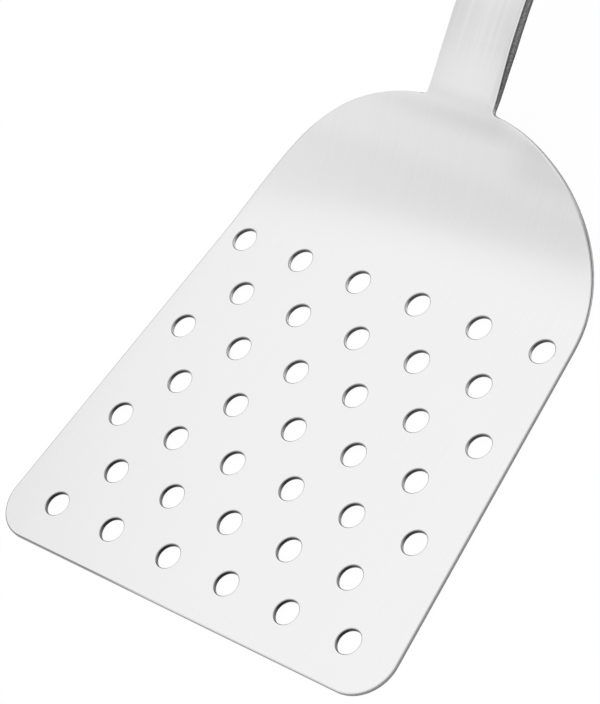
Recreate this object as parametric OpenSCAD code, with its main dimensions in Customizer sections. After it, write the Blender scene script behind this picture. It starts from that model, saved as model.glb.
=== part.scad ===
// Fish spatula: a perforated stainless blade, a cranked shank and a riveted full-tang handle.
// Millimetres. X runs across the blade, Y from the front edge to the handle, Z up.
// The origin lies on the blade's underside, on the middle line, in the web at the middle of
// the rows of holes.

/* [Blade] */
// Width across the front corners, before they are rounded
blade_w = 127; // [100:0.1:160]
// Length of the flat part, from the front edge to the heel bend
flat_l = 93.9; // [85:0.1:130]
// Thickness of the rolled blade
blade_t = 1.2; // [0.8:0.1:2]
// Angle of each side edge to the middle line
side_taper = 5.1; // [0:0.1:8]
// Radius of the two front corners
corner_r = 10.1; // [4:0.1:20]
// Radius of each shoulder, where the blade narrows to the shank
shoulder_r = 49; // [44:0.1:52]
// Distance along the sheet from the front edge to the shoulders' centres
shoulder_s = 92.6; // [85:0.1:110]
// Radius of the hollow where a shoulder meets the shank
neck_r = 1; // [0.5:0.5:8]

/* [Drain holes] */
// Diameter of a hole
hole_d = 6.3; // [3:0.1:9]
// Distance between neighbours in a row
hole_pitch = 19.2; // [16:0.1:20]
// Distance between rows
row_pitch = 13.5; // [11:0.1:14]
// Number of rows
hole_rows = 7; // [3:1:7]
// Number of holes in a long row; a short row has one fewer
row_holes = 6; // [3:1:6]
// Distance from the front edge to the first row
front_margin = 11.3; // [8:0.1:16]

/* [Crank and shank] */
// Radius of the heel bend, on the upper face
heel_r = 48; // [25:0.1:80]
// Slope at the end of the heel bend
heel_angle = 32.5; // [15:0.5:45]
// Length of the ramp, which steepens to the neck
ramp_l = 11.5; // [8:0.5:40]
// Steepest slope, just before the neck
neck_angle = 37; // [20:0.5:50]
// Length of the bend back at the neck
neck_l = 8; // [4:0.5:14]
// Slope at the foot of the shank, just past the neck
foot_angle = 20.5; // [8:0.5:36]
// Length of the bend up from the foot of the shank
foot_l = 6.5; // [4:0.5:14]
// Steepest slope of the shank, past its foot
shank_angle = 31; // [12:0.5:40]
// Length over which the shank leans back to the slope of the handle
sweep_l = 43; // [25:1:70]
// Length of the straight shank in front of the handle
shank_l = 18; // [8:1:60]
// Width of the shank
shank_w = 20; // [14:0.1:26]
// Width of the neck, where the rolling has spread the sheet
neck_w = 20.7; // [16:0.1:28]
// Length over which the neck narrows to the shank
neck_taper_l = 15; // [8:0.5:30]
// Thickness of the shank and the tang
shank_t = 3; // [2:0.1:5]
// Length over which the rolled blade thickens to the shank
thicken_l = 18.5; // [8:0.5:30]
// How far in front of the neck it starts to thicken
thicken_lead = 4; // [0:0.5:8]

/* [Handle] */
// Slope of the handle
handle_angle = 18; // [0:1:35]
// Length of the handle
handle_l = 126; // [105:1:150]
// Width at the belly, under the fingers
belly_w = 24.4; // [20:0.1:32]
// Distance from the front of the handle to the belly
belly_y = 46; // [35:0.5:55]
// Width at the waist, behind the belly
waist_w = 22.4; // [18:0.1:30]
// Distance from the front of the handle to the waist
waist_y = 80; // [65:0.5:84]
// Width at the swell before the butt
butt_w = 27; // [22:0.1:36]
// Length of the rounded end behind the swell
butt_l = 20; // [12:0.5:20]
// Thickness of one handle scale on the middle line
scale_t = 6.2; // [5:0.1:9]
// Thickness of a scale at its front tip
scale_tip_t = 1.6; // [0.8:0.1:3]
// Length of the slope at the front of a scale
scale_nose_l = 15; // [8:0.5:25]
// Radius of the crown across a scale
crown_r = 30; // [24:1:60]
// Radius of the rounding at the butt of a scale
butt_r = 4.5; // [2:0.1:5]

/* [Rivets] */
// Diameter of a rivet head
head_d = 8; // [7:0.1:10]
// Depth of a rivet head in the scale
head_l = 2.2; // [1.6:0.1:3]
// Diameter of the hollow half's barrel
barrel_d = 5; // [4:0.1:6]
// Diameter of the solid half's post
post_d = 3.2; // [2:0.1:3.6]
// Radial play between a rivet and the hole that it stands in
rivet_play = 0.1; // [0.05:0.01:0.2]
// Radial play between the post and the barrel's bore
post_play = 0.02; // [0.01:0.01:0.05]
// Distance from the front of the handle to the first rivet
first_rivet = 24; // [20:0.5:30]
// Distance from the last rivet to the hanging hole
last_rivet = 22; // [14:0.5:26]
// Gap at the ends of the barrel and of the post
rivet_end_gap = 0.3; // [0.1:0.1:0.6]

/* [Hanging hole] */
// Inner diameter of the tube
hang_d = 8; // [6:0.1:9]
// Wall of the tube
hang_wall = 0.8; // [0.4:0.1:1.2]
// Distance from the middle of the hole to the butt
hang_inset = 15; // [13:0.5:18]

/* [Hidden] */
$fn = 64;

steel = [0.8, 0.81, 0.82];
black = [0.12, 0.12, 0.13];

// Greatest turn and length between two points of a drawn curve, and least length on an arc
arc_step = 3;
curve_step = 4;
least_chord = 0.3;
// How far a cutting solid runs past what it cuts
spare = 1;

// Rows of holes lie half a row to either side of the origin
function row_y(row) = (row - floor(hole_rows / 2) + 0.5) * row_pitch;
front_y = row_y(0) - front_margin;

// The sheet's upper face, as stretches of [length, turn] that follow each other
heel_l = heel_r * heel_angle * PI / 180;
stretches = [
    [flat_l, 0],
    [heel_l, heel_angle],
    [ramp_l, neck_angle - heel_angle],
    [neck_l, foot_angle - neck_angle],
    [foot_l, shank_angle - foot_angle],
    [sweep_l, handle_angle - shank_angle],
    [shank_l + handle_l + spare, 0],
];
function start_of(k) = k == 0 ? 0 : start_of(k - 1) + stretches[k - 1][0];
handle_s = start_of(len(stretches) - 1) + shank_l;

// Place and slope, [y, z, angle], after a length of sheet that turns evenly
function chord(length, turn) =
    turn == 0 ? length : length * sin(turn / 2) / (turn / 2 * PI / 180);
function moved(from, length, turn) = [
    from[0] + chord(length, turn) * cos(from[2] + turn / 2),
    from[1] + chord(length, turn) * sin(from[2] + turn / 2),
    from[2] + turn,
];

// Place and slope of the upper face at a distance s from the front edge, along the sheet
function place(s, k = 0, from = [front_y, blade_t, 0]) =
    let (length = stretches[k][0], turn = stretches[k][1])
    s <= length || k == len(stretches) - 1
        ? moved(from, s, turn * s / length)
        : place(s - length, k + 1, moved(from, length, turn));

// The shoulder arc touches the side edge, and the neck's hollow touches the arc and the neck
function side_w(s) = blade_w / 2 - s * tan(side_taper);
function inset_w(s, r) = side_w(s) - r / cos(side_taper);
shoulder_w = inset_w(shoulder_s, shoulder_r);
hollow_w = neck_w / 2 + neck_r;
neck_turn = acos((hollow_w - shoulder_w) / (shoulder_r + neck_r));
neck_s = shoulder_s + (shoulder_r + neck_r) * sin(neck_turn);

// The holes in a row draw together where the blade is too narrow for their pitch
last_row_s = front_margin + (hole_rows - 1) * row_pitch;
widest_pitch = (side_w(last_row_s) - hole_d) / ((row_holes - 1) / 2);
pitch = min(hole_pitch, widest_pitch);

// The rolled blade thickens from a little in front of the neck
thicken_s = neck_s - thicken_lead;
function sheet_t(s) =
    blade_t + (shank_t - blade_t) * max(0, min(1, (s - thicken_s) / thicken_l));

// Distances along the sheet at which its side view has a point: along each bend, and at both
// ends of the length that thickens
function cuts(k) =
    stretches[k][1] == 0
        ? 1
        : ceil(max(abs(stretches[k][1]) / arc_step, stretches[k][0] / curve_step));
bend_s = [
    0,
    for (k = [0 : len(stretches) - 1])
        for (i = [1 : cuts(k)])
            start_of(k) + stretches[k][0] * i / cuts(k),
];
thicken_end = thicken_s + thicken_l;
side_s = concat(
    [for (s = bend_s) if (s < thicken_s) s], [thicken_s],
    [for (s = bend_s) if (s > thicken_s && s < thicken_end) s], [thicken_end],
    [for (s = bend_s) if (s > thicken_end) s]
);
function upper_point(s) = [place(s)[0], place(s)[1]];
function lower_point(s) = upper_point(s) - sheet_t(s) * [-sin(place(s)[2]), cos(place(s)[2])];

function arc(centre, r, from, to) =
    let (turn = abs(to - from), n = ceil(min(turn / arc_step, r * turn * PI / 180 / least_chord)))
    [for (i = [0 : n]) let (a = from + (to - from) * i / n) centre + r * [cos(a), sin(a)]];
function reversed(points) = [for (i = [len(points) - 1 : -1 : 0]) points[i]];
function both_sides(half) = concat(half, [for (p = reversed(half)) [-p[0], p[1]]]);

// Right half of the flat blank, as [distance from the middle line, distance from the front],
// with a strip as wide as the shank that ends between the scales
half_blank = concat(
    arc([inset_w(corner_r, corner_r), corner_r], corner_r, -90, side_taper),
    arc([shoulder_w, shoulder_s], shoulder_r, side_taper, neck_turn),
    arc([hollow_w, neck_s], neck_r, 180 + neck_turn, 180),
    [[shank_w / 2, neck_s + neck_taper_l], [shank_w / 2, handle_s + 2 * curve_step]]
);

// Half width of the handle at a distance y from its front, and its right half
swell_y = handle_l - butt_l;
function eased(t) = (1 - cos(180 * t)) / 2;
function blend(y, y0, w0, y1, w1) = (w0 + (w1 - w0) * eased((y - y0) / (y1 - y0))) / 2;
function handle_half_w(y) =
    y < belly_y ? blend(y, 0, shank_w, belly_y, belly_w)
    : y < waist_y ? blend(y, belly_y, belly_w, waist_y, waist_w)
    : blend(y, waist_y, waist_w, swell_y, butt_w);
half_handle = concat(
    [for (y = [0 : curve_step : swell_y - spare]) [handle_half_w(y), y]],
    [for (a = [0 : arc_step * 2 : 90]) [butt_w / 2 * cos(a), swell_y + butt_l * sin(a)]]
);

// The tang's front lies inside that strip
half_tang = concat(
    [[shank_w / 2 - spare, 0]],
    [for (i = [1 : len(half_handle) - 1]) half_handle[i]]
);

// Middle of the tang's front end
handle_front = (upper_point(handle_s) + lower_point(handle_s)) / 2;
half_grip_t = shank_t / 2 + scale_t;
hang_y = handle_l - hang_inset;
rear_rivet = hang_y - last_rivet;
rivet_y = [first_rivet, (first_rivet + rear_rivet) / 2, rear_rivet];
tube_r = hang_d / 2 + hang_wall;

module on_handle() {
    translate([0, handle_front[0], handle_front[1]]) rotate([handle_angle, 0, 0]) children();
}

// A side view, drawn with Y to the right, given a width across X
module across(width) {
    rotate([90, 0, 90]) translate([0, 0, -width / 2]) linear_extrude(width) children();
}

module drain_holes() {
    for (row = [0 : hole_rows - 1]) {
        count = row_holes - row % 2;
        for (i = [0 : count - 1]) {
            translate([(i - (count - 1) / 2) * pitch, row_y(row), -hole_d])
                cylinder(d = hole_d, h = 4 * hole_d);
        }
    }
}

// The holes that the rivets and the tube leave in the tang and the scales
module handle_holes() {
    for (y = rivet_y) {
        translate([0, y, -half_grip_t - spare])
            cylinder(d = barrel_d + 2 * rivet_play, h = 2 * (half_grip_t + spare));
    }
    translate([0, hang_y, -half_grip_t - spare])
        cylinder(r = tube_r + rivet_play, h = 2 * (half_grip_t + spare));
}

module blade_and_tang() {
    color(steel) difference() {
        intersection() {
            across(blade_w) polygon(concat(
                [for (s = side_s) upper_point(s)],
                [for (s = reversed(side_s)) lower_point(s)]
            ));
            union() {
                translate([0, 0, -spare])
                    linear_extrude(handle_front[1] + 2 * shank_t + 2 * spare)
                    polygon(both_sides([for (p = half_blank) [p[0], place(p[1])[0]]]));
                on_handle() translate([0, 0, -shank_t])
                    linear_extrude(2 * shank_t) polygon(both_sides(half_tang));
            }
        }
        drain_holes();
        on_handle() handle_holes();
    }
}

// Everything under the crown of the upper scale, as long as the handle
module under_crown() {
    translate([0, -spare, half_grip_t - crown_r])
        rotate([-90, 0, 0])
        cylinder(r = crown_r, h = handle_l + 2 * spare, $fn = 180);
}

// The upper scale before it is placed, with its flat face on the tang
module handle_scale() {
    nose = [
        for (y = [0 : curve_step / 2 : scale_nose_l])
            [y, scale_tip_t + (scale_t - scale_tip_t) * sin(90 * y / scale_nose_l)]
    ];
    top_y = handle_l - butt_r;
    difference() {
        intersection() {
            translate([0, 0, shank_t / 2]) across(butt_w + belly_w) polygon(concat(
                [[0, 0]],
                nose,
                [[scale_nose_l, scale_t]],
                reversed(arc([top_y, scale_t - butt_r], butt_r, 0, 90)),
                [[handle_l, 0]]
            ));
            linear_extrude(half_grip_t) polygon(both_sides(half_handle));
            under_crown();
        }
        handle_holes();
        for (y = rivet_y) {
            translate([0, y, half_grip_t - head_l])
                cylinder(d = head_d + 2 * rivet_play, h = head_l + spare);
        }
    }
}

module handle_scale_upper() {
    color(black) on_handle() handle_scale();
}

module handle_scale_lower() {
    color(black) on_handle() mirror([0, 0, 1]) handle_scale();
}

// Solid half of a rivet: a head in the upper scale, and a post that runs down into the barrel
module rivet_post(y) {
    post_l = 2 * (half_grip_t - head_l) - rivet_end_gap;
    color(steel) on_handle() translate([0, y, 0]) {
        intersection() {
            translate([0, 0, half_grip_t - head_l]) cylinder(d = head_d, h = head_l);
            translate([0, -y, 0]) under_crown();
        }
        translate([0, 0, half_grip_t - head_l - post_l]) cylinder(d = post_d, h = post_l);
    }
}

// Hollow half of a rivet: a head in the lower scale, and a barrel that the post is pressed into
module rivet_socket(y) {
    barrel_l = 2 * (half_grip_t - head_l) - rivet_end_gap;
    color(steel) on_handle() translate([0, y, 0]) mirror([0, 0, 1]) difference() {
        union() {
            intersection() {
                translate([0, 0, half_grip_t - head_l]) cylinder(d = head_d, h = head_l);
                translate([0, -y, 0]) under_crown();
            }
            translate([0, 0, half_grip_t - head_l - barrel_l]) cylinder(d = barrel_d, h = barrel_l);
        }
        translate([0, 0, half_grip_t - head_l - barrel_l - spare])
            cylinder(d = post_d + 2 * post_play, h = barrel_l + spare);
    }
}

module rivet_post_front() rivet_post(rivet_y[0]);
module rivet_post_middle() rivet_post(rivet_y[1]);
module rivet_post_rear() rivet_post(rivet_y[2]);
module rivet_socket_front() rivet_socket(rivet_y[0]);
module rivet_socket_middle() rivet_socket(rivet_y[1]);
module rivet_socket_rear() rivet_socket(rivet_y[2]);

// Stainless tube through both scales and the tang, cut to the crowns
module lanyard_tube() {
    color(steel) on_handle() intersection() {
        translate([0, hang_y, -half_grip_t]) difference() {
            cylinder(r = tube_r, h = 2 * half_grip_t);
            translate([0, 0, -spare]) cylinder(d = hang_d, h = 2 * (half_grip_t + spare));
        }
        under_crown();
        mirror([0, 0, 1]) under_crown();
    }
}

blade_and_tang();
handle_scale_upper();
handle_scale_lower();
rivet_post_front();
rivet_post_middle();
rivet_post_rear();
rivet_socket_front();
rivet_socket_middle();
rivet_socket_rear();
lanyard_tube();
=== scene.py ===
"""A fish spatula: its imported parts, dressed for a studio photograph.

Lengths are written in millimetres, times MM, and every object is in metres in the frame's
axes: X across the blade, Y from the front edge to the handle, Z up from the blade's underside.
"""
from math import acos, ceil, copysign, cos, hypot, pi, radians, sin, sqrt, tan

import bmesh
import bpy
from mathutils import Matrix, Vector


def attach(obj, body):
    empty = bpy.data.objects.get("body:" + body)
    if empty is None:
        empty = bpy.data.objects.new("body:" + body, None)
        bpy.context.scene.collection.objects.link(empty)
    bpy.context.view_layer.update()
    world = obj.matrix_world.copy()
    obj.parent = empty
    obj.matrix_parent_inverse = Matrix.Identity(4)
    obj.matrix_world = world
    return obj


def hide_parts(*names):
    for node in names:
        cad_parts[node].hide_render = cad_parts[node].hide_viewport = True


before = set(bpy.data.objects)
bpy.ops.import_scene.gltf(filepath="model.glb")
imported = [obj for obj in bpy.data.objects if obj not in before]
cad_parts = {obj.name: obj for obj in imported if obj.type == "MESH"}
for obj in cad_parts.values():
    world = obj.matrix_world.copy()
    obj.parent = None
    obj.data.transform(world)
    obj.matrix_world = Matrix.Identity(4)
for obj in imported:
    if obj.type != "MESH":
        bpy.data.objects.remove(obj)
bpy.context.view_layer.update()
MM = 0.001


# The camera of the photograph. It looks down on the blade from beyond its right front corner,
# through a long lens at about three quarters of a metre. The photograph is a crop, so the lens
# is shifted a little.
def linked(name, data):
    """A new object of that data, in the scene and at the origin."""
    made = bpy.data.objects.new(name, data)
    bpy.context.scene.collection.objects.link(made)
    return made


PHOTO_WIDE, PHOTO_HIGH = 600, 704
focal_px = 3237
middle_px = Vector((336.2, 302.6))
camera_at = Vector((476.0, -178.1, 562.1)) * MM
right = Vector((0.72528, 0.54759, -0.41728))
down = Vector((0.27887, -0.78782, -0.54915))

lens = bpy.data.cameras.new("photo_camera")
lens.sensor_fit = "VERTICAL"
lens.sensor_height = 24
lens.lens = focal_px * lens.sensor_height / PHOTO_HIGH
lens.shift_x = (PHOTO_WIDE / 2 - middle_px.x) / PHOTO_HIGH
lens.shift_y = (middle_px.y - PHOTO_HIGH / 2) / PHOTO_HIGH
lens.clip_end = 20
camera = linked("photo_camera", lens)
turned = Matrix((right, -down, right.cross(-down))).transposed()
camera.matrix_world = Matrix.Translation(camera_at) @ turned.to_4x4()
bpy.context.scene.camera = camera


# The blade, shank and tang are one piece of stainless steel. The blade end is rolled thin, and
# the flat blank is stamped out and pierced. Its edges are tumbled smooth, and it is then bent
# up at the heel, and down and up again at the neck, where the shank starts to thicken.
class Link:
    """An output in a node tree. Python's operators on it add Math nodes."""

    def __init__(self, net, socket):
        self.net, self.socket = net, socket

    def output(self, name):
        return Link(self.net, self.socket.node.outputs[name])

    def into(self, node, name):
        """Feeds this output to one of a node's inputs."""
        self.net.tree.links.new(self.socket, node.inputs[name])

    def math(self, operation, *given):
        return self.net("ShaderNodeMath", {"operation": operation}, dict(enumerate(given)))

    def rise(self, start, end):
        """0 up to start, 1 from end on, and a smooth step between."""
        span = {"Value": self, "From Min": start, "From Max": end}
        return self.net("ShaderNodeMapRange", {"interpolation_type": "SMOOTHSTEP"}, span)

    def __add__(self, other):
        return self.math("ADD", self, other)

    def __sub__(self, other):
        return self.math("SUBTRACT", self, other)

    def __rsub__(self, other):
        return self.math("SUBTRACT", other, self)

    def __mul__(self, other):
        return self.math("MULTIPLY", self, other)

    def __truediv__(self, other):
        return self.math("DIVIDE", self, other)

    def __mod__(self, other):
        return self.math("MODULO", self, other)

    def __floordiv__(self, other):
        return self.math("FLOOR", self / other)

    def __gt__(self, other):
        return self.math("GREATER_THAN", self, other)

    __radd__ = __add__
    __rmul__ = __mul__


class Net:
    """A node tree. Called with a node's type, settings and inputs, it adds that node."""

    def __init__(self, tree):
        self.tree = tree

    def __call__(self, kind, settings=None, inputs=None, output=0):
        node = self.tree.nodes.new(kind)
        for name, value in (settings or {}).items():
            setattr(node, name, value)
        for name, given in (inputs or {}).items():
            for value in given if isinstance(given, list) else [given]:
                if isinstance(value, Link):
                    value.into(node, name)
                else:
                    node.inputs[name].default_value = value
        return Link(self, node.outputs[output]) if node.outputs else node


front_y = -45.05 * MM
flat_l = 93.9 * MM
blade_t = 1.2 * MM
blade_w = 127 * MM
side_taper = radians(5.1)
corner_r = 10.1 * MM
shoulder_r = 49 * MM
shoulder_s = 92.6 * MM
neck_r = 1 * MM
neck_w = 20.7 * MM
neck_taper_l = 15 * MM
shank_w = 20 * MM
shank_t = 3 * MM
thicken_l = 18.5 * MM
thicken_lead = 4 * MM
heel_r = 48 * MM
shank_l = 18 * MM
handle_l = 126 * MM
handle_slope = radians(18)

# Stretches of the upper face along the blank, as (length, turn): the flat, the heel bend, the
# ramp, the bends down and up at the neck, the sweep, and the straight run into the handle
stretches = [
    (flat_l, 0),
    (heel_r * radians(32.5), radians(32.5)),
    (11.5 * MM, radians(4.5)),
    (8 * MM, radians(-16.5)),
    (6.5 * MM, radians(10.5)),
    (43 * MM, radians(-13)),
    (shank_l + handle_l, 0),
]
handle_s = sum(length for length, _ in stretches[:-1]) + shank_l


def upper_face(s):
    """Place and slope of the upper face at a distance s from the front edge."""
    y, z, slope = front_y, blade_t, 0
    for length, turn in stretches:
        part = min(s, length) if (length, turn) != stretches[-1] else s
        half = turn * part / length / 2
        chord = part * (sin(half) / half if half else 1)
        y, z, slope = y + chord * cos(slope + half), z + chord * sin(slope + half), slope + 2 * half
        s -= part
        if s <= 0:
            break
    return y, z, slope


neck_x = neck_w / 2 + neck_r
side_at_shoulder = blade_w / 2 - shoulder_s * tan(side_taper)
shoulder_x = side_at_shoulder - shoulder_r / cos(side_taper)
neck_turn = acos((neck_x - shoulder_x) / (shoulder_r + neck_r))
neck_s = shoulder_s + (shoulder_r + neck_r) * sin(neck_turn)
neck_y = upper_face(neck_s)[0]
tang_y = upper_face(handle_s)[0]


def past_neck(along, start, end):
    """0 up to start and 1 from end on, both in millimetres behind the neck."""
    return along.rise(neck_y + start * MM, neck_y + end * MM)


def sheet_t(s):
    """Thickness at a distance s: the blade is rolled thin up to the neck."""
    done = (s - neck_s + thicken_lead) / thicken_l
    return blade_t + (shank_t - blade_t) * max(0, min(1, done))


def arc(x, s, r, start, end, step=radians(3)):
    """Points of a round stretch of the outline."""
    n = ceil(abs(end - start) / step - 1e-6)
    turns = (start + (end - start) * i / n for i in range(n + 1))
    return [(x + r * cos(a), s + r * sin(a)) for a in turns]


# The butt's outline in its own half width and length, for the tang and the scales alike
butt_turn = arc(0, 0, 1, 0, pi / 2, radians(6))[1:]
belly_y, belly_w = 46 * MM, 24.4 * MM
waist_y, waist_w = 80 * MM, 22.4 * MM
butt_w, butt_l = 27 * MM, 20 * MM
swell_y = handle_l - butt_l


def handle_half_w(y):
    """Half the handle's width at a distance y behind its front."""
    stops = [(0, shank_w), (belly_y, belly_w), (waist_y, waist_w), (swell_y, butt_w)]
    for (y0, w0), (y1, w1) in zip(stops, stops[1:]):
        if y <= y1:
            return (w0 + (w1 - w0) * (1 - cos(pi * (y - y0) / (y1 - y0))) / 2) / 2
    return butt_w / 2 * sqrt(max(0, 1 - ((y - swell_y) / butt_l) ** 2))


def blank_outline(inset):
    """The right half of the flat blank, all of it moved in from its edge by the same amount."""
    corner_x = blade_w / 2 - corner_r * tan(side_taper) - corner_r / cos(side_taper)
    tang = [(handle_half_w(swell_y * i / 26), handle_s + swell_y * i / 26) for i in range(27)]
    butt_s = handle_s + swell_y
    return (
        arc(corner_x, corner_r, corner_r - inset, -pi / 2, side_taper)
        + arc(shoulder_x, shoulder_s, shoulder_r - inset, side_taper, neck_turn)
        + arc(neck_x, neck_s, neck_r + inset, pi + neck_turn, pi, radians(8))
        + [(shank_w / 2 - inset, neck_s + neck_taper_l)]
        + [(x - inset, s) for x, s in tang]
        + [((butt_w / 2 - inset) * x, butt_s + (butt_l - inset) * s) for x, s in butt_turn]
    )


def curve_of(name, loops):
    """Closed poly curves through loops of points, for Geometry Nodes to start from."""
    data = bpy.data.curves.new(name, "CURVE")
    data.dimensions = "3D"
    for loop in loops:
        spline = data.splines.new("POLY")
        spline.points.add(len(loop) - 1)
        for point, (x, s) in zip(spline.points, loop):
            point.co = (x, s, 0, 1)
        spline.use_cyclic_u = True
    return linked(name, data)


def node_group(name, **inputs):
    """An empty Geometry Nodes tree with named inputs, and a Link for each of them."""
    tree = bpy.data.node_groups.new(name, "GeometryNodeTree")
    tree.interface.new_socket("Geometry", in_out="OUTPUT", socket_type="NodeSocketGeometry")
    tree.interface.new_socket("Geometry", in_out="INPUT", socket_type="NodeSocketGeometry")
    kinds = {
        int: "NodeSocketInt",
        float: "NodeSocketFloat",
        bpy.types.Material: "NodeSocketMaterial",
    }
    for label, value in inputs.items():
        kind = next(k for t, k in kinds.items() if isinstance(value, t))
        tree.interface.new_socket(label, in_out="INPUT", socket_type=kind)
    net = Net(tree)
    given = net("NodeGroupInput")
    return net, {label: given.output(label) for label in ["Geometry", *inputs]}


def plain_mesh(obj):
    """The mesh that an object's modifiers make of it. The object itself is removed."""
    graph = bpy.context.evaluated_depsgraph_get()
    graph.update()
    mesh = bpy.data.meshes.new_from_object(obj.evaluated_get(graph), depsgraph=graph)
    bpy.data.objects.remove(obj)
    return mesh


def grown(obj, net, inputs):
    """A plain mesh of what the tree makes from obj, with the inputs set by identifier."""
    modifier = obj.modifiers.new("grown", "NODES")
    modifier.node_group = net.tree
    for item in net.tree.interface.items_tree:
        if item.item_type == "SOCKET" and item.in_out == "INPUT" and item.name in inputs:
            modifier[item.identifier] = inputs[item.name]
    return plain_mesh(obj)


def piece(name, mesh, materials=()):
    """A new object of that mesh, shaded smooth, at the origin."""
    made = linked(name, mesh)
    if materials:
        mesh.materials.clear()
    for material in materials:
        mesh.materials.append(material)
    mesh.shade_smooth()
    return made


def material(name, **sockets):
    """A material with a Principled shader, its tree as a Net, and that shader."""
    made = bpy.data.materials.new(name)
    made.use_nodes = True
    shader = made.node_tree.nodes["Principled BSDF"]
    for label, value in sockets.items():
        shader.inputs[label.replace("_", " ")].default_value = value
    return made, Net(made.node_tree), shader


def brushed_steel(name, shade, roughness, grain, depth, streaks_and_painted_shade=None):
    """Satin steel with a fine grain along Y. A function given as its last argument scales its
    shade from place to place, with painted shade and highlights and with streaks.
    """
    made, net, shader = material(name, Metallic=1.0)
    place = net("ShaderNodeTexCoord", output="Object")
    fine = net("ShaderNodeMapping", inputs={"Vector": place, "Scale": (1, 0.006, 0.006)})
    lines = net("ShaderNodeTexNoise", inputs={"Vector": fine, "Scale": grain, "Detail": 3.0})
    broad = net("ShaderNodeTexNoise", inputs={"Vector": place, "Scale": 28.0, "Detail": 2.0})
    shine = (lines - 0.5) * 0.10 + (broad - 0.5) * 0.06 + roughness
    shine.into(shader, "Roughness")
    tone = (lines - 0.5) * 0.05 + (broad - 0.5) * 0.02 + shade
    # Painted shade and highlights, and streaks, from the function given last
    if streaks_and_painted_shade:
        tone = tone * streaks_and_painted_shade(net, place)
    tone.into(shader, "Base Color")
    bump = net("ShaderNodeBump", inputs={"Height": lines, "Strength": 0.12, "Distance": depth})
    bump.into(shader, "Normal")
    return made


def blade_streaks_and_painted_light(net, place):
    """The shade of the blade from place to place, mostly painted light. A band of painted shade
    crosses the neck, stronger on the right, where it fades into painted shade on the right
    shoulder. Painted highlight lightens it from a little before the neck, and more at the foot of
    the shank. Painted shade darkens the shank further up and towards its sides. The shank is
    streaked by grinding. Painted shade darkens the ramp towards its right edge."""
    spot = net("ShaderNodeSeparateXYZ", inputs={"Vector": place})
    along = spot.output("Y")
    shank = past_neck(along, -1.5, 3.5)
    # Painted shade in a band across the neck, stronger to the right and fading at the far right
    neck_shade = (past_neck(along, -8.5, -2.5) - shank) * (spot * 4 + 0.165)
    neck_shade = neck_shade * (1 - spot.rise(12 * MM, 22 * MM) * 0.6)
    # Painted shade on the right shoulder, from a little before the neck
    shoulder = spot.rise(14 * MM, 28 * MM) * past_neck(along, -16, -9) * 0.1
    # Painted highlight from a little before the neck and at the shank's foot, then painted shade up
    # the shank
    bright = past_neck(along, -17, -11.5) * 0.045 + shank * 0.04
    bright = bright - past_neck(along, 4, 20) * 0.145
    # Painted shade towards the shank's sides, more on the right
    sides = (spot * spot * 680 + spot.rise(8 * MM, 10 * MM) * 0.1) * shank
    drawn = net("ShaderNodeMapping", inputs={"Vector": place, "Scale": (1, 0.02, 0.02)})
    streaks = net("ShaderNodeTexNoise", inputs={"Vector": drawn, "Scale": 620.0, "Detail": 2.0})
    streaks = (streaks - 0.5) * past_neck(along, 4, 16) * 0.16
    # Painted shade over the ramp towards its right edge
    ramp = along.rise(55 * MM, 70 * MM) - past_neck(along, -4, 4)
    return bright - neck_shade - shoulder - sides + streaks - ramp * spot * 0.9 + 1


# The blade's satin steel, with painted shade and highlights and grinding streaks
satin = brushed_steel("satin_steel", 0.715, 0.22, 5200.0, 0.004 * MM, blade_streaks_and_painted_light)


def edge_steel(name, tones):
    """A stamped edge. Its wall is grey, and more granular on the shank, up to the tang. The
    function tones gives the tone of the upper rounding and of the wall, with painted shade and
    highlights. The mesh's attribute "wall" is 0 to 3 over the upper rounding, 4 halfway down,
    and 5 to 8 over the lower one."""
    made, net, shader = material(name, Metallic=1.0, Roughness=0.45)
    place = net("ShaderNodeTexCoord", output="Object")
    grains = net("ShaderNodeTexNoise", inputs={"Vector": place, "Scale": 1700.0, "Detail": 4.0})
    wall = net("ShaderNodeAttribute", {"attribute_name": "wall"}, output="Fac")
    along = net("ShaderNodeSeparateXYZ", inputs={"Vector": place}).output("Y")
    rough = past_neck(along, -8, 0) - along.rise(tang_y - MM, tang_y + MM)
    coarse = (grains.rise(0.3, 0.7) - 0.5) * (rough * 0.6 + 0.2)
    # The tones paint shade and highlights on the rounding and the wall
    rounding, upright = tones(net, along, wall)
    inner = wall.rise(1.4, 3) - wall.rise(7, 8)
    tone = (coarse + 1) * upright * inner + (1 - inner) * rounding
    tone.into(shader, "Base Color")
    bump = net("ShaderNodeBump", inputs={"Height": grains, "Strength": 0.4, "Distance": 0.03 * MM})
    bump.into(shader, "Normal")
    return made


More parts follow.
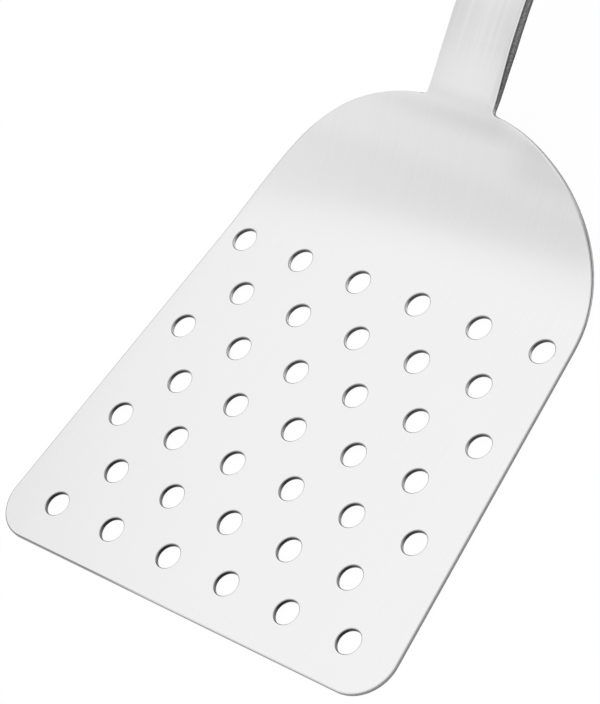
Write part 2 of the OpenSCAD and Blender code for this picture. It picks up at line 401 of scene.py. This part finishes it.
def sheared_tones(net, along, wall):
    """The blade's wall is light, with painted highlight along its top and painted shade along its
    bottom, but round the shoulders with painted shade along its top and painted highlight along
    its bottom. The shank's is dark, darkest at the foot, with a painted highlight halfway down.
    The tang's is ground bright. The rounding has painted shade on the left, most of all on the
    flat, and on the right shoulder."""
    neck, shank = past_neck(along, -18, -12), past_neck(along, -2, 3)
    shade = neck * 0.12 - shank * 0.27 + past_neck(along, 5, 20) * 0.045 + 0.27
    shade = shade + along.rise(tang_y - MM, tang_y + MM) * 0.4
    # Painted light on the wall: lighter top and darker bottom on the blade, a painted highlight
    # halfway down the shank
    middle = wall.rise(3, 4) - wall.rise(4, 5)
    down = (middle * 0.7 + 0.62) * shank + (1.3 - wall.rise(3, 5) * 0.5) * (1 - shank)
    # Painted shade along the top of the wall and painted highlight along its bottom, round the
    # shoulders
    shoulder_wall_shading = along.rise(57 * MM, 60 * MM) - along.rise(73 * MM, 78 * MM)
    # Painted shade on the rounding's left side, most of all on the flat
    left = 1 - along.output("X").rise(-30 * MM, 0)
    left_rounding_shade = left * (1 - neck) * (0.45 - along.rise(50 * MM, 60 * MM) * 0.2)
    # Painted shade on the rounding round the right shoulder
    right_shoulder_shade = (1 - left) * (along.rise(60 * MM, 73 * MM) - along.rise(74 * MM, 86 * MM)) * 0.28
    return 0.7 - left_rounding_shade - right_shoulder_shade, shade * down + shoulder_wall_shading * (wall.rise(3, 4.4) * 0.45 - 0.22)


def pierced_tones(net, along, wall):
    """Painted shade, darkest in the front rows and towards the bottom. The front side of each
    hole, where the attribute "front" nears 1, has a painted highlight on its wall and painted
    shade on its rounding."""
    front = net("ShaderNodeAttribute", {"attribute_name": "front"}, output="Fac")
    # Painted shade on the hole walls, darker in the front rows and towards the bottom
    rows = along.rise(-40 * MM, 50 * MM) * 0.07 + 0.02
    grey = rows * (front.rise(-0.3, 1) * 9 + 0.65) * (1.2 - wall.rise(3, 5) * 0.45)
    return 0.42 - front.rise(0.5, 1) * 0.4, grey


# Both edge materials carry painted shade and highlights in their tones
sheared = edge_steel("sheared_edge", sheared_tones)
pierced = edge_steel("pierced_edge", pierced_tones)

hole_inputs = {
    "Hole Radius": 3.15 * MM,
    "Hole Pitch": 19.2 * MM,
    "Row Pitch": 13.5 * MM,
    "First Row": 11.3 * MM,
    "Rows": 7,
    "Long Row": 6,
    "Thickness": blade_t,
    "Edge Round": 0.3 * MM,
    "Hole Round": 0.25 * MM,
    "Face": satin,
    "Edge": sheared,
    "Hole Wall": pierced,
}


def pierced_blank():
    """A tree that fills the outlines it is given, pierces the blade with staggered rows of
    holes, and sweeps a rounded rim round every edge."""
    net, given = node_group("pierced_blank", **hole_inputs)
    thick, hole_round = given["Thickness"], given["Hole Round"]
    rows, per_row = given["Rows"], given["Long Row"]

    index = net("GeometryNodeInputIndex")
    row, column = index // per_row, index % per_row
    short = row % 2
    x = (column - (per_row - 1) / 2 + short / 2) * given["Hole Pitch"]
    y = row * given["Row Pitch"] + given["First Row"]
    at = net("ShaderNodeCombineXYZ", inputs={"X": x, "Y": y})
    points = net("GeometryNodePoints", inputs={"Count": rows * per_row, "Position": at})
    spare = short * (column > per_row - 1.5)
    points = net("GeometryNodeDeleteGeometry", inputs={"Geometry": points, "Selection": spare})

    hole_r = given["Hole Radius"] + hole_round
    circle = net("GeometryNodeCurvePrimitiveCircle", inputs={"Resolution": 64, "Radius": hole_r})
    circle = net("GeometryNodeReverseCurve", inputs={"Curve": circle})
    spot = net("ShaderNodeSeparateXYZ", inputs={"Vector": net("GeometryNodeInputPosition")})
    # The attribute front, 1 on each hole's front side, places painted highlight and shade on the
    # hole walls
    front = {"Geometry": circle, "Name": "front", "Value": spot.output("Y") / hole_r * -1}
    circle = net("GeometryNodeStoreNamedAttribute", {"data_type": "FLOAT"}, front)
    rings = net("GeometryNodeInstanceOnPoints", inputs={"Points": points, "Instance": circle})
    rings = net("GeometryNodeRealizeInstances", inputs={"Geometry": rings})
    edges = net("GeometryNodeJoinGeometry", inputs={"Geometry": [given["Geometry"], rings]})

    upper = net("GeometryNodeFillCurve", inputs={"Curve": edges})
    rise = net("ShaderNodeCombineXYZ", inputs={"Z": thick / 2})
    sink = net("ShaderNodeCombineXYZ", inputs={"Z": thick / -2})
    lower = net("GeometryNodeTransform", inputs={"Geometry": upper, "Translation": sink})
    lower = net("GeometryNodeFlipFaces", inputs={"Mesh": lower})
    last = {"Geometry": lower, "Name": "wall", "Value": 8.0}
    lower = net("GeometryNodeStoreNamedAttribute", {"data_type": "FLOAT"}, last)
    upper = net("GeometryNodeTransform", inputs={"Geometry": upper, "Translation": rise})
    faces = net("GeometryNodeJoinGeometry", inputs={"Geometry": [upper, lower]})
    faces = net("GeometryNodeSetMaterial", inputs={"Geometry": faces, "Material": given["Face"]})

    # A rim's section turns down in three steps, drops past a point halfway, and turns in again
    # in three steps. Its Y axis ends up pointing down. The lower edge, where the punch broke
    # out, is left nearly sharp, with most of its rounding gone. The attribute "wall" counts
    # these nine points, from 0 at the upper face to 8 at the lower one.
    broken_out = 0.8
    past = index - 4
    steps = 4 - past.math("ABSOLUTE", past)
    turn = steps.math("MINIMUM", steps, 3) * (pi / 6)

    def rim(loops, edge, coat):
        out = turn.math("SINE", turn) * edge
        deep = edge - (past > 0) * edge * broken_out
        drop = (turn.math("COSINE", turn) * deep + thick / 2 - deep) * past.math("SIGN", past)
        spot = net("ShaderNodeCombineXYZ", inputs={"X": out, "Y": drop})
        section = net("GeometryNodeCurvePrimitiveLine")
        section = net("GeometryNodeResampleCurve", inputs={"Curve": section, "Count": 9})
        section = net("GeometryNodeSetPosition", inputs={"Geometry": section, "Position": spot})
        wall = {"Geometry": section, "Name": "wall", "Value": index}
        section = net("GeometryNodeStoreNamedAttribute", {"data_type": "FLOAT"}, wall)
        swept = net("GeometryNodeCurveToMesh", inputs={"Curve": loops, "Profile Curve": section})
        return net("GeometryNodeSetMaterial", inputs={"Geometry": swept, "Material": coat})

    rims = [
        rim(given["Geometry"], given["Edge Round"], given["Edge"]),
        rim(rings, hole_round, given["Hole Wall"]),
    ]
    whole = net("GeometryNodeJoinGeometry", inputs={"Geometry": [faces, *rims]})
    whole = net("GeometryNodeMergeByDistance", inputs={"Geometry": whole, "Distance": 0.002 * MM})
    whole = net("GeometryNodeRealizeInstances", inputs={"Geometry": whole})
    net("NodeGroupOutput", inputs={"Geometry": whole})
    return net


def bent(mesh, line_turn=radians(1.5), line_gap=6 * MM):
    """Bends a flat blank to the upper face's line, and lets it thicken to the shank. A bend gets
    lines across it, no further apart than that turn and that gap. Where it thickens, the top of
    its wall stays, the middle moves down half as far as the bottom, and both roundings keep
    their size."""
    sheet = bmesh.new()
    sheet.from_mesh(mesh)
    start = 0
    for length, turn in stretches:
        lines = max(1, ceil(abs(turn) / line_turn), ceil(length / line_gap) if turn else 1)
        for i in range(lines):
            cut = Vector((0, start + length * i / lines, 0))
            geom = sheet.verts[:] + sheet.edges[:] + sheet.faces[:]
            bmesh.ops.bisect_plane(sheet, geom=geom, plane_co=cut, plane_no=(0, 1, 0), dist=1e-7)
        start += length
    for vert in sheet.verts:
        x, s, height = vert.co
        y, z, slope = upper_face(s)
        share = max(0, min(1, 0.5 - 2 * height / blade_t))
        depth = blade_t / 2 - height + (sheet_t(s) - blade_t) * share
        vert.co = (x, y + depth * sin(slope), z - depth * cos(slope))
    bmesh.ops.recalc_face_normals(sheet, faces=sheet.faces)
    sheet.to_mesh(mesh)
    sheet.free()


# The tang has a hole for each rivet and one for the tube
barrel_r, tube_r, play = 2.5 * MM, 4.8 * MM, 0.1 * MM
hang_y = handle_l - 15 * MM
first_rivet, rivet_pitch = 24 * MM, 32.5 * MM
rivets = [first_rivet + rivet_pitch * i for i in range(3)]
edge_round = hole_inputs["Edge Round"]
half = blank_outline(edge_round)
outline = half + [(-x, s) for x, s in reversed(half) if x > 1e-6]
tang_holes = [
    arc(0, handle_s + y, r + play + edge_round, 2 * pi, 0, radians(7.5))[:-1]
    for y, r in [*((y, barrel_r) for y in rivets), (hang_y, tube_r)]
]
blank = grown(curve_of("blank", [outline, *tang_holes]), pierced_blank(), hole_inputs)
bent(blank)
blade = piece("blade", blank)
even = blade.modifiers.new("even_shading", "WEIGHTED_NORMAL")
even.weight = 100
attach(blade, "root")
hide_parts("blade_and_tang")


# The two handle scales are moulded in black plastic. Each has a flat back on the tang and a
# crowned face that slopes down at the front and the butt. Its edges are rounded, and it is
# counterbored for the rivets' heads.
handle_y, handle_z, _ = upper_face(handle_s)
handle_y += shank_t / 2 * sin(handle_slope)
handle_z -= shank_t / 2 * cos(handle_slope)
on_handle = Matrix.Translation((0, handle_y, handle_z)) @ Matrix.Rotation(handle_slope, 4, "X")
scale_t, tip_t, nose_l = 6.2 * MM, 1.6 * MM, 15 * MM
crown_r, butt_r = 30 * MM, 4.5 * MM
grip_t = shank_t / 2 + scale_t
head_r, head_l = 4 * MM, 2.2 * MM
scale_edge = 1.3 * MM
seam = 0.1 * MM


def crown_drop(x):
    """How far the crown falls at a distance x from the middle line."""
    return crown_r - sqrt(crown_r**2 - x * x)


def scale_height(x, y):
    """Height of a scale's face over the tang, before its edges are rounded."""
    nose = tip_t + (scale_t - tip_t) * sin(pi / 2 * min(1, y / nose_l))
    back = max(0, y - (handle_l - butt_r))
    butt = scale_t - butt_r + sqrt(max(0, butt_r**2 - back * back))
    return (scale_t - crown_drop(x)) * nose * butt / scale_t**2


def closed_mesh(name, made, weld):
    """A mesh of the faces made so far, with points closer than weld joined and faces outward."""
    bmesh.ops.remove_doubles(made, verts=made.verts, dist=weld)
    bmesh.ops.dissolve_degenerate(made, edges=made.edges, dist=weld)
    bmesh.ops.recalc_face_normals(made, faces=made.faces)
    mesh = bpy.data.meshes.new(name)
    made.to_mesh(mesh)
    made.free()
    return mesh


def scale_mesh(name, side):
    """A scale, built of spokes that run from its middle out to its edge and back over its face.
    The spokes cross the handle up to the swell, and then fan round the butt."""
    fronts = [scale_edge * (1 - cos(radians(a))) for a in range(0, 90, 15)]
    steps = [scale_edge + (swell_y - scale_edge) * i / 56 for i in range(57)]
    spokes = [((0, y), (handle_half_w(y), y)) for y in fronts + steps]
    spokes += [((0, swell_y), (butt_w / 2 * x, swell_y + butt_l * y)) for x, y in butt_turn]
    made = bmesh.new()
    for mirrored in (1, -1):
        rows = []
        for (mid_x, mid_y), (rim_x, rim_y) in spokes:
            reach = hypot(rim_x - mid_x, rim_y - mid_y)
            ins = [scale_edge * (1 - cos(radians(a))) for a in range(0, 91, 15)]
            ins += [scale_edge + (reach - scale_edge) * f for f in (0.15, 0.3, 0.45, 0.6, 0.8, 1)]
            row = [(mid_x, mid_y, 0), (rim_x - seam * rim_x / reach, rim_y, 0)]
            row += [(rim_x, rim_y, seam)]
            for inset in ins:
                x = rim_x + (mid_x - rim_x) * inset / reach
                y = rim_y + (mid_y - rim_y) * inset / reach
                top = scale_height(x, y)
                r = min(scale_edge, top * 0.7)
                deep = max(0, r - min(inset, y))
                row.append((x, y, top - r + sqrt(r * r - deep * deep)))
            spots = [(mirrored * x, y, side * (shank_t / 2 + z)) for x, y, z in row]
            rows.append([made.verts.new(spot) for spot in spots])
        for row, after in zip(rows, rows[1:]):
            for k in range(len(row) - 1):
                made.faces.new((row[k], row[k + 1], after[k + 1], after[k]))
        made.faces.new(rows[0])
    return closed_mesh(name, made, 1e-6)


def lathe(name, profile, segments=48, shape=None):
    """A closed profile of (radius, height) turned round Z. The shape may move each point."""
    made = bmesh.new()
    turns = [2 * pi * i / segments for i in range(segments)]
    rings = []
    for r, z in profile:
        spots = [(r * cos(a), r * sin(a), z) for a in turns]
        rings.append([made.verts.new(shape(*spot) if shape else spot) for spot in spots])
    for ring, after in zip(rings, rings[1:] + rings[:1]):
        for k in range(segments):
            n = (k + 1) % segments
            made.faces.new((ring[k], ring[n], after[n], after[k]))
    return closed_mesh(name, made, 1e-7)


def drilled(mesh, side):
    """The scale with its holes, placed on the tang."""
    low, floor_z, high = -MM, (grip_t - head_l) * side, (grip_t + MM) * side
    bores = [(0, low * side), (barrel_r + play, low * side), (barrel_r + play, floor_z)]
    bores += [(head_r + play, floor_z), (head_r + play, high), (0, high)]
    hang = [(0, low * side), (tube_r + play, low * side), (tube_r + play, high), (0, high)]
    whole = piece("scale", mesh)
    for y, profile in [*((y, bores) for y in rivets), (hang_y, hang)]:
        drill = piece("drill", lathe("drill", profile, 64))
        drill.data.transform(Matrix.Translation((0, y, 0)))
        cut = whole.modifiers.new("bore", "BOOLEAN")
        cut.operation = "DIFFERENCE"
        cut.solver = "EXACT"
        cut.object = drill
    drills = [cut.object for cut in whole.modifiers]
    cut_mesh = plain_mesh(whole)
    for drill in drills:
        bpy.data.objects.remove(drill)
    cut_mesh.transform(on_handle)
    cut_mesh.set_sharp_from_angle(angle=radians(40))
    return cut_mesh


def moulded_plastic(name):
    """Black plastic with a fine moulded grain and faint scuffs along the handle."""
    made, net, shader = material(name, Base_Color=(0.016, 0.016, 0.017, 1))
    place = net("ShaderNodeTexCoord", output="Object")
    grain = net("ShaderNodeTexNoise", inputs={"Vector": place, "Scale": 2400.0, "Detail": 2.0})
    broad = net("ShaderNodeTexNoise", inputs={"Vector": place, "Scale": 60.0, "Detail": 2.0})
    drawn = net("ShaderNodeMapping", inputs={"Vector": place, "Scale": (1, 0.03, 0.1)})
    scuffs = net("ShaderNodeTexNoise", inputs={"Vector": drawn, "Scale": 1500.0, "Detail": 2.0})
    shine = (broad - 0.5) * 0.12 + (grain - 0.5) * 0.08 + (scuffs - 0.5) * 0.1 + 0.4
    shine.into(shader, "Roughness")
    bump = net("ShaderNodeBump", inputs={"Height": grain, "Strength": 0.25, "Distance": 0.03 * MM})
    bump.into(shader, "Normal")
    return made


plastic = moulded_plastic("black_plastic")
for name, side in (("handle_scale_upper", 1), ("handle_scale_lower", -1)):
    scale = piece(name + "_dressed", drilled(scale_mesh(name, side), side), [plastic])
    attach(scale, "root")
    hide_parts(name)


# Three two-part rivets hold the scales. The solid half's post is pressed into the hollow half's
# barrel inside the tang, and both heads are ground flush with the crowns.
post_r, bore_r, end_gap = 1.6 * MM, 1.62 * MM, 0.3 * MM
head_z = grip_t - head_l
post_end = end_gap - head_z
head_round = 0.25 * MM
ground = brushed_steel("ground_steel", 0.66, 0.3, 4200.0, 0.004 * MM)


def crowned(x, y, z):
    """Lowers the points of a head that stand over its seat, to follow the crown."""
    over = max(0, (abs(z) - head_z) / head_l)
    return x, y, z - copysign(crown_drop(x) * over, z)


head = [(head_r, head_z)]
head += arc(head_r - head_round, grip_t - head_round, head_round, 0, pi / 2, radians(15))
head += [(head_r * f, grip_t) for f in (0.75, 0.5, 0.25, 0)]
post = [(0, post_end), (post_r - head_round, post_end)]
post += [(post_r, post_end + head_round), (post_r, head_z)]
barrel = [(0, head_z), (bore_r, head_z), (bore_r, post_end)]
barrel += [(barrel_r, post_end), (barrel_r, head_z)]

rivet_inputs = {"Count": 3, "First": first_rivet, "Pitch": rivet_pitch, "Steel": ground}


def rivet_row():
    """A tree that sets copies of a rivet half in a row down the handle."""
    net, given = node_group("rivet_row", **rivet_inputs)
    index = net("GeometryNodeInputIndex")
    at = net("ShaderNodeCombineXYZ", inputs={"Y": index * given["Pitch"] + given["First"]})
    points = net("GeometryNodePoints", inputs={"Count": given["Count"], "Position": at})
    copies = {"Points": points, "Instance": given["Geometry"]}
    copies = net("GeometryNodeInstanceOnPoints", inputs=copies)
    copies = net("GeometryNodeRealizeInstances", inputs={"Geometry": copies})
    copies = net("GeometryNodeSetMaterial", inputs={"Geometry": copies, "Material": given["Steel"]})
    net("NodeGroupOutput", inputs={"Geometry": copies})
    return net


row = rivet_row()
for name, profile, side in (("rivet_post", post + head, 1), ("rivet_socket", barrel + head, -1)):
    one = piece(name, lathe(name, [(r, side * z) for r, z in profile], 48, crowned))
    mesh = grown(one, row, rivet_inputs)
    mesh.transform(on_handle)
    mesh.set_sharp_from_angle(angle=radians(40))
    made = piece(name + "s", mesh)
    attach(made, "root")
    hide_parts(*(f"{name}_{where}" for where in ("front", "middle", "rear")))


# A stainless tube lines the hanging hole. It runs through both scales and the tang, and its
# lips are rounded where they meet the crowns.
lip, hang_r = 0.3 * MM, 4 * MM


def cut_to_crowns(x, y, z):
    """Lets both ends of the tube follow the crowns."""
    return x, y, z * (1 - crown_drop(x) / grip_t)


corners = [(tube_r - lip, 1, 0), (hang_r + lip, 1, 1), (hang_r + lip, -1, 2), (tube_r - lip, -1, 3)]
ring = []
for r, end, quarter in corners:
    ring += arc(r, end * (grip_t - lip), lip, quarter * pi / 2, (quarter + 1) * pi / 2, radians(15))
tube_mesh = lathe("lanyard_tube", ring, 64, cut_to_crowns)
tube_mesh.transform(Matrix.Translation((0, hang_y, 0)))
tube_mesh.transform(on_handle)
tube = piece("hanging_tube", tube_mesh, [ground])
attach(tube, "root")
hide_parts("lanyard_tube")


# The studio: a white table top, a white surround, and one very large, dim panel overhead at the
# left, which the flat of the blade reflects and the ramp does not.
floor_mesh = bpy.data.meshes.new("table_top")
reach = 3
floor_mesh.from_pydata(
    [(-reach, -reach, 0), (reach, -reach, 0), (reach, reach, 0), (-reach, reach, 0)],
    [],
    [(0, 1, 2, 3)],
)
floor = piece("table_top", floor_mesh)
floor.location.z = -0.2 * MM
white, net, shader = material("white_table", Roughness=0.9, Base_Color=(0.92, 0.92, 0.92, 1))
rays = net("ShaderNodeLightPath", output="Is Camera Ray")
seen = rays + rays.output("Is Glossy Ray") + rays.output("Is Transmission Ray")
glow_share = 0.96
glow = net("ShaderNodeEmission", inputs={"Color": (1, 1, 1, 1), "Strength": 1.0})
surface = Link(net, shader.outputs["BSDF"])
shown = net("ShaderNodeMixShader", inputs={0: seen * glow_share, 1: surface, 2: glow})
shown.into(net.tree.nodes["Material Output"], "Surface")
floor_mesh.materials.append(white)

world = bpy.data.worlds.new("white_surround")
world.use_nodes = True
world.node_tree.nodes["Background"].inputs["Color"].default_value = (1, 1, 1, 1)
world.node_tree.nodes["Background"].inputs["Strength"].default_value = 1.0
bpy.context.scene.world = world

# The panel's front left edge is where the photograph's reflection ends, in the heel bend
panel = bpy.data.lights.new("panel", "AREA")
panel.shape = "RECTANGLE"
panel.size, panel.size_y = 1.0, 1.6
panel_glow = 0.25
panel.energy = panel_glow * pi * panel.size * panel.size_y
edge_at = Vector((-0.61, -0.2365, 0.8))
inward = Vector((0.876, 0.481, 0))
hung = linked("panel", panel)
hung.location = edge_at + inward * panel.size / 2
hung.rotation_euler.z = inward.to_2d().angle_signed(Vector((1, 0)))

bpy.context.scene.view_settings.view_transform = "Standard"
